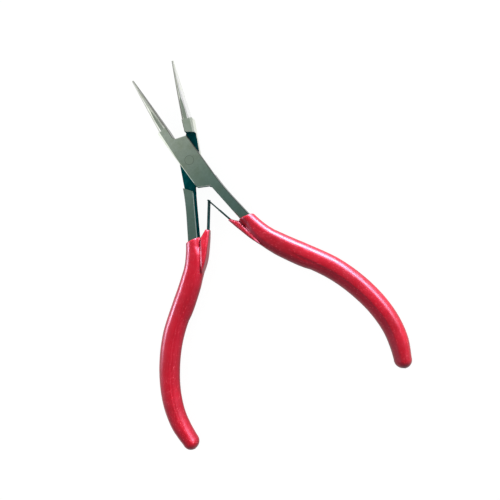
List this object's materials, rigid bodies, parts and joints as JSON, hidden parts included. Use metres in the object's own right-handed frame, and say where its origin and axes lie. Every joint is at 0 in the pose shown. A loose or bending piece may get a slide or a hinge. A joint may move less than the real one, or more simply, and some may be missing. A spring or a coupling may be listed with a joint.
{
  "type": "needle nose pliers",
  "caption": "Slim needle nose pliers: lap-jointed steel halves, tapered round-nosed jaws, dipped red vinyl grips and a double leaf spring that holds them open.",
  "frame": {"origin": "on the pivot's axis, in the flat underside of the joint", "axes": "+Y from the pivot towards the jaw tips, midway between the halves; +Z along the pivot's axis, out of the joint plate that lies on top; +X to the handle of the half whose plate is on top"},
  "size_m": [0.0982, 0.1435, 0.0072],
  "materials": {
    "steel": "satin, fine ground",
    "rivet_steel": "ground flush",
    "spring_steel": "dark oiled spring steel",
    "red_vinyl": "glossy dipped vinyl with fine speckle"
  },
  "bodies": {
    "front": {"front_half": "steel", "pivot_rivet": "rivet_steel", "front_grip": "red_vinyl", "front_leaf_root": "spring_steel", "front_leaf_rivet": "rivet_steel"},
    "back": {"back_half": "steel", "back_grip": "red_vinyl", "back_leaf_root": "spring_steel", "back_leaf_rivet": "rivet_steel"},
    "front_leaf": {"front_leaf_blade": "spring_steel", "front_leaf_sleeve": "red_vinyl"},
    "back_leaf": {"back_leaf_blade": "spring_steel", "back_leaf_sleeve": "red_vinyl"}
  },
  "joints": [
    {"name": "pivot", "type": "hinge", "parent": "front", "child": "back", "pos_m": [0, 0, 0], "axis": [0, 0, 1], "range_deg": [-9, 24.6], "stiffness_Nm_per_rad": 1.5},
    {"name": "front_leaf_flex", "type": "hinge", "parent": "front", "child": "front_leaf", "pos_m": [0.01077, -0.03859, 0.0026], "axis": [0, 0, 1], "range_deg": [-9.5, 4]},
    {"name": "back_leaf_flex", "type": "hinge", "parent": "back", "child": "back_leaf", "pos_m": [-0.01077, -0.03859, 0.0026], "axis": [0, 0, 1], "range_deg": [-4, 9.5]}
  ],
  "couplings": [
    {"joint": "front_leaf_flex", "follows": "pivot", "ratio": -0.36},
    {"joint": "back_leaf_flex", "follows": "pivot", "ratio": 0.36}
  ]
}
